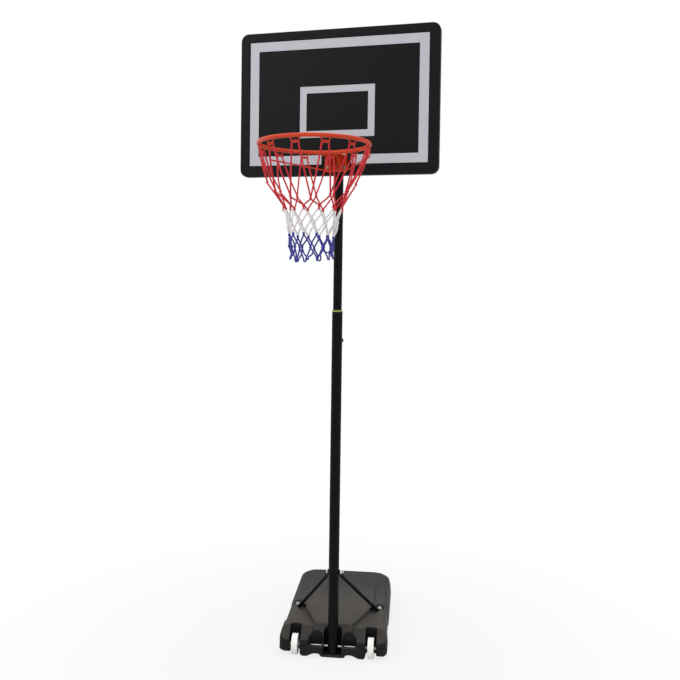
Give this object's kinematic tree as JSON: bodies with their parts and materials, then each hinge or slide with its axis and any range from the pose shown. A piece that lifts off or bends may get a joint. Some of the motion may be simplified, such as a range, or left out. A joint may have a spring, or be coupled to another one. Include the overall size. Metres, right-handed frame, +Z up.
{
  "type": "portable basketball stand",
  "caption": "Wheeled portable basketball stand with a ballast tank base, telescoping pole, striped board, orange hoop and net.",
  "frame": {"origin": "on the floor, under the pole's axis, on the underside of the tank's toe", "axes": "+Z up; the board and hoop face -Y; +X to the right of someone looking along +Y at the board; the base, with the poles and the lock up to the bush, stands turned by 9 degrees about +Z, as in the picture"},
  "size_m": [0.8, 1.2714, 2.5],
  "materials": {
    "tank_plastic": "blow-moulded charcoal plastic with a fine grain",
    "black_plastic": "moulded black plastic",
    "board_plastic": "satin black moulded plastic",
    "white_plastic": "moulded off-white plastic",
    "lime_plastic": "moulded yellow-green plastic",
    "black_steel": "satin black powder coat",
    "zinc_steel": "bright zinc plate",
    "orange_steel": "orange-red powder coat",
    "grey_print": "light grey printed film",
    "black_rubber": "soft black rubber",
    "net_cord": "twisted polyester cord in red, white and blue bands",
    "water": "still water"
  },
  "bodies": {
    "base": {"base_tank": "tank_plastic", "water_fill": "water", "wheel_axle": "zinc_steel", "axle_cap_left": "black_steel", "axle_cap_right": "black_steel", "foot_plug": "black_plastic", "bottom_pole": "black_steel", "middle_pole": "black_steel", "pole_bush": "lime_plastic", "lock_nut": "zinc_steel", "strut_left": "black_steel", "strut_right": "black_steel", "strut_top_bolt": "zinc_steel", "strut_top_nut": "zinc_steel", "strut_bolt_left": "zinc_steel", "strut_bolt_right": "zinc_steel", "strut_washer_left": "zinc_steel", "strut_washer_right": "zinc_steel", "strut_insert_left": "zinc_steel", "strut_insert_right": "zinc_steel"},
    "guide": {"pole_glide": "black_plastic"},
    "upper": {"top_pole": "black_steel", "pole_top_cap": "black_plastic", "backboard": "board_plastic", "border_stripe": "grey_print", "target_stripe": "grey_print", "lower_saddle": "black_steel", "upper_saddle": "black_steel", "lower_saddle_bolt": "zinc_steel", "lower_saddle_nut": "zinc_steel", "upper_saddle_bolt": "zinc_steel", "upper_saddle_nut": "zinc_steel", "saddle_screw_left": "zinc_steel", "saddle_screw_right": "zinc_steel", "rim_ring": "orange_steel", "rim_bracket": "orange_steel", "rim_brace_left": "orange_steel", "rim_brace_right": "orange_steel", "rim_bolt_1": "zinc_steel", "rim_bolt_2": "zinc_steel", "rim_bolt_3": "zinc_steel", "rim_bolt_4": "zinc_steel", "rim_nut_1": "zinc_steel", "rim_nut_2": "zinc_steel", "rim_nut_3": "zinc_steel", "rim_nut_4": "zinc_steel", "net": "net_cord"},
    "wheel_left": {"wheel_left": "white_plastic"},
    "wheel_right": {"wheel_right": "white_plastic"},
    "filler": {"filler_plug": "black_plastic", "filler_gasket": "black_rubber"},
    "lock_screw": {"lock_bolt": "zinc_steel"},
    "lock_knob": {"lock_knob": "black_plastic"}
  },
  "joints": [
    {"name": "height_slide", "type": "slide", "parent": "base", "child": "guide", "axis": [0, 0, 1], "range_m": [-0.45, 0]},
    {"name": "upper_turn", "type": "hinge", "parent": "guide", "child": "upper", "pos_m": [0, 0, 1.226], "axis": [0, 0, 1], "continuous": true},
    {"name": "wheel_left_spin", "type": "hinge", "parent": "base", "child": "wheel_left", "pos_m": [-0.15161, -0.02401, 0.042], "axis": [0.9877, 0.1564, 0], "continuous": true},
    {"name": "wheel_right_spin", "type": "hinge", "parent": "base", "child": "wheel_right", "pos_m": [0.15161, 0.02401, 0.042], "axis": [0.9877, 0.1564, 0], "continuous": true},
    {"name": "filler_plug_pull", "type": "slide", "parent": "base", "child": "filler", "axis": [-0.1564, 0.9877, 0], "range_m": [0, 0.03]},
    {"name": "lock_screw_travel", "type": "slide", "parent": "base", "child": "lock_screw", "axis": [-0.1564, 0.9877, 0], "range_m": [0, 0.0038]},
    {"name": "lock_knob_turn", "type": "hinge", "parent": "lock_screw", "child": "lock_knob", "pos_m": [-0.00623, 0.03931, 1.276], "axis": [-0.1564, 0.9877, 0], "range_deg": [0, 1080]}
  ],
  "couplings": [
    {"joint": "lock_screw_travel", "follows": "lock_knob_turn", "m_per_rad": 0.00019894}
  ]
}
